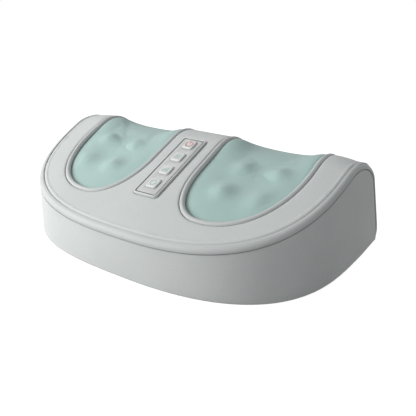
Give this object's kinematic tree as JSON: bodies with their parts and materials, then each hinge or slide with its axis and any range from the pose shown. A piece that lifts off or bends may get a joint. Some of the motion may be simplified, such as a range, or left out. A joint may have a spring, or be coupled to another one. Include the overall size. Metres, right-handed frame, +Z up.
{
  "type": "foot and calf massager",
  "caption": "Wedge-shaped foot and calf massager with two padded wells over turning kneading heads and a push-button panel between them.",
  "frame": {"origin": "on the floor under the middle of the body's outer box", "axes": "+X to the user's right across both wells, +Y from the front edge to the steep back, +Z up"},
  "size_m": [0.45, 0.2876, 0.1359],
  "materials": {
    "side_cover": "light grey fine-grained imitation leather, matt",
    "top_cover": "light grey fine-grained imitation leather, matt",
    "trim": "light grey imitation leather band between two seams",
    "piping": "pale grey piped roll, satin",
    "pad": "mint soft-touch fabric, matt",
    "casing": "moulded plastic",
    "base": "moulded plastic",
    "panel_rim": "satin silver-grey",
    "panel_face": "satin silver-lilac",
    "button": null,
    "power_button": "satin white with a red standby symbol",
    "board": "green circuit board",
    "black_plastic": "black moulded plastic",
    "foot": "black rubber",
    "steel": "zinc-plated steel",
    "deck": "glass-filled moulded plastic",
    "bush": "sintered bronze",
    "rotor": "moulded plastic",
    "node": "moulded plastic"
  },
  "bodies": {
    "chassis": {"base_pan": "base", "foot_front_left": "foot", "foot_front_right": "foot", "foot_back_left": "foot", "foot_back_right": "foot", "base_screw_front_left": "steel", "base_screw_front_right": "steel", "base_screw_back_left": "steel", "base_screw_back_right": "steel", "casing": "casing", "side_wall": "side_cover", "trim_band": "trim", "top_cover": "top_cover", "panel_frame": "panel_rim", "panel_face": "panel_face", "control_board": "board", "switch_power": "black_plastic", "switch_heat": "black_plastic", "switch_speed": "black_plastic", "switch_direction": "black_plastic", "driver_board": "board", "dc_jack": "black_plastic", "well_ring_left": "casing", "well_pad_left": "pad", "well_piping_left": "piping", "deck_left": "deck", "gearbox_left": "deck", "motor_left": "steel", "head_bush_left": "bush", "well_ring_right": "casing", "well_pad_right": "pad", "well_piping_right": "piping", "deck_right": "deck", "gearbox_right": "deck", "motor_right": "steel", "head_bush_right": "bush"},
    "head_left": {"rotor_left": "rotor", "node_left_1": "node", "node_left_2": "node", "node_left_3": "node", "node_left_4": "node", "worm_wheel_left": "rotor"},
    "head_right": {"rotor_right": "rotor", "node_right_1": "node", "node_right_2": "node", "node_right_3": "node", "node_right_4": "node", "worm_wheel_right": "rotor"},
    "worm_left": {"worm_left": "steel"},
    "worm_right": {"worm_right": "steel"},
    "button_power": {"button_power": "power_button"},
    "button_heat": {"button_heat": "button"},
    "button_speed": {"button_speed": "button"},
    "button_direction": {"button_direction": "button"}
  },
  "joints": [
    {"name": "head_left_spin", "type": "hinge", "parent": "chassis", "child": "head_left", "pos_m": [-0.11551, -0.02351, 0.10958], "axis": [0, -0.3923, 0.9198], "continuous": true},
    {"name": "worm_left_spin", "type": "hinge", "parent": "chassis", "child": "worm_left", "pos_m": [-0.11551, -0.02578, 0.0499], "axis": [1, 0, 0], "continuous": true},
    {"name": "head_right_spin", "type": "hinge", "parent": "chassis", "child": "head_right", "pos_m": [0.11551, -0.02351, 0.10958], "axis": [0, -0.3923, 0.9198], "continuous": true},
    {"name": "worm_right_spin", "type": "hinge", "parent": "chassis", "child": "worm_right", "pos_m": [0.11551, -0.02578, 0.0499], "axis": [1, 0, 0], "continuous": true},
    {"name": "button_power_press", "type": "slide", "parent": "chassis", "child": "button_power", "axis": [0, 0.3923, -0.9198], "range_m": [0, 0.0011], "stiffness_N_per_m": 500, "springref_m": -0.0004},
    {"name": "button_heat_press", "type": "slide", "parent": "chassis", "child": "button_heat", "axis": [0, 0.3923, -0.9198], "range_m": [0, 0.0011], "stiffness_N_per_m": 500, "springref_m": -0.0004},
    {"name": "button_speed_press", "type": "slide", "parent": "chassis", "child": "button_speed", "axis": [0, 0.3923, -0.9198], "range_m": [0, 0.0011], "stiffness_N_per_m": 500, "springref_m": -0.0004},
    {"name": "button_direction_press", "type": "slide", "parent": "chassis", "child": "button_direction", "axis": [0, 0.3923, -0.9198], "range_m": [0, 0.0011], "stiffness_N_per_m": 500, "springref_m": -0.0004}
  ],
  "couplings": [
    {"joint": "worm_right_spin", "follows": "head_right_spin", "ratio": -24},
    {"joint": "worm_left_spin", "follows": "head_left_spin", "ratio": 24}
  ]
}
